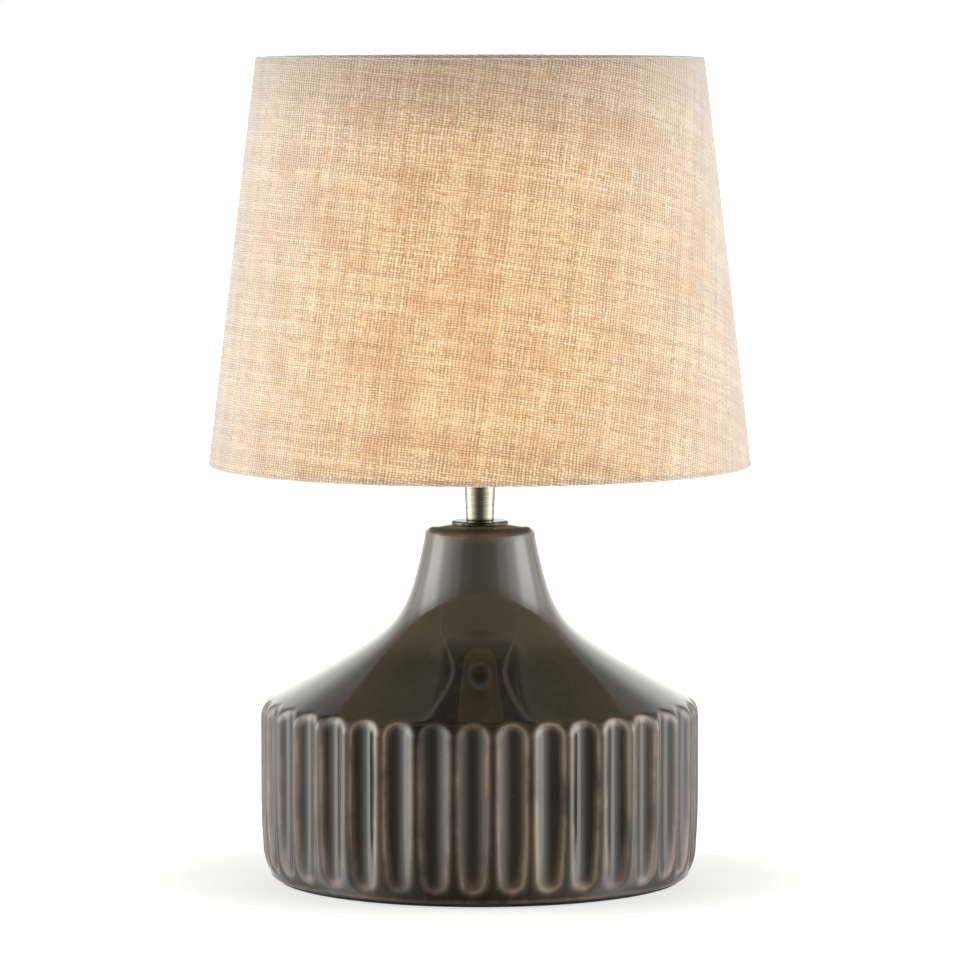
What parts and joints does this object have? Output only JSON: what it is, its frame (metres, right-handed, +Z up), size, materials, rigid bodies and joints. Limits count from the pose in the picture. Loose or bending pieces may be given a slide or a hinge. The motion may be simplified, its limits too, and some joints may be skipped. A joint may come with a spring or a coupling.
{
  "type": "table lamp",
  "caption": "Table lamp with a fluted glazed ceramic base, a slim metal neck and a tapered woven fabric shade on a small screw lampholder, with a removable ball bulb.",
  "frame": {"origin": "on the table, under the middle of the base", "axes": "+Z up along the lamp's axis, -Y the front, +Y the side with the cable inlet"},
  "size_m": [0.25, 0.25, 0.3792],
  "materials": {
    "glaze": "glossy brown grey reactive glaze, lighter where it breaks over the ridges",
    "felt": "black felt",
    "hardboard": "brown hardboard",
    "rubber": "matt black rubber",
    "brass": "plain turned brass",
    "steel": "zinc plated steel",
    "dark_steel": "blackened steel",
    "satin_nickel": "satin nickel",
    "black_plastic": "black thermoset plastic",
    "steatite": "cream steatite",
    "plated_shell": "nickel plated",
    "white_wire": "white powder coat",
    "lining": "white translucent laminate",
    "shade_linen": "natural linen weave with slubs",
    "solder": "solder tip",
    "black_glass": "black vitrite",
    "opal_glass": "opal white glass, lit",
    "clear_glass": "clear glass",
    "phosphor": "yellow phosphor coat"
  },
  "bodies": {
    "base": {"felt_pad": "felt", "bottom_board": "hardboard", "ceramic_base": "glaze", "cable_grommet": "rubber", "threaded_tube": "brass", "rubber_washer": "rubber", "steel_washer": "steel", "lock_washer": "steel", "lock_nut": "brass", "neck_washer": "dark_steel", "neck_sleeve": "satin_nickel", "holder_cap": "black_plastic", "grub_screw": "steel", "terminal_block": "steatite", "terminal_screws": "brass", "centre_contact": "brass", "side_contact": "brass", "screw_shell": "plated_shell", "holder_skirt": "black_plastic"},
    "shade": {"fitter_ring": "white_wire", "fitter_arms": "white_wire", "bottom_wire_ring": "white_wire", "top_wire_ring": "white_wire", "shade_lining": "lining", "shade_fabric": "shade_linen"},
    "ring_nut": {"shade_ring_nut": "black_plastic"},
    "bulb": {"bulb_contact": "solder", "bulb_insulator": "black_glass", "bulb_cap": "plated_shell", "bulb_glass": "opal_glass", "filament_stem": "clear_glass", "filament_wires": "steel", "led_filaments": "phosphor"}
  },
  "joints": [
    {"name": "shade_turn", "type": "hinge", "parent": "base", "child": "shade", "pos_m": [0, 0, 0.206], "axis": [0, 0, 1], "continuous": true},
    {"name": "ring_nut_turn", "type": "hinge", "parent": "base", "child": "ring_nut", "pos_m": [0, 0, 0.211], "axis": [0, 0, 1], "range_deg": [0, 2160]},
    {"name": "bulb_lift", "type": "slide", "parent": "base", "child": "bulb", "axis": [0, 0, 1], "range_m": [0, 0.185]}
  ]
}
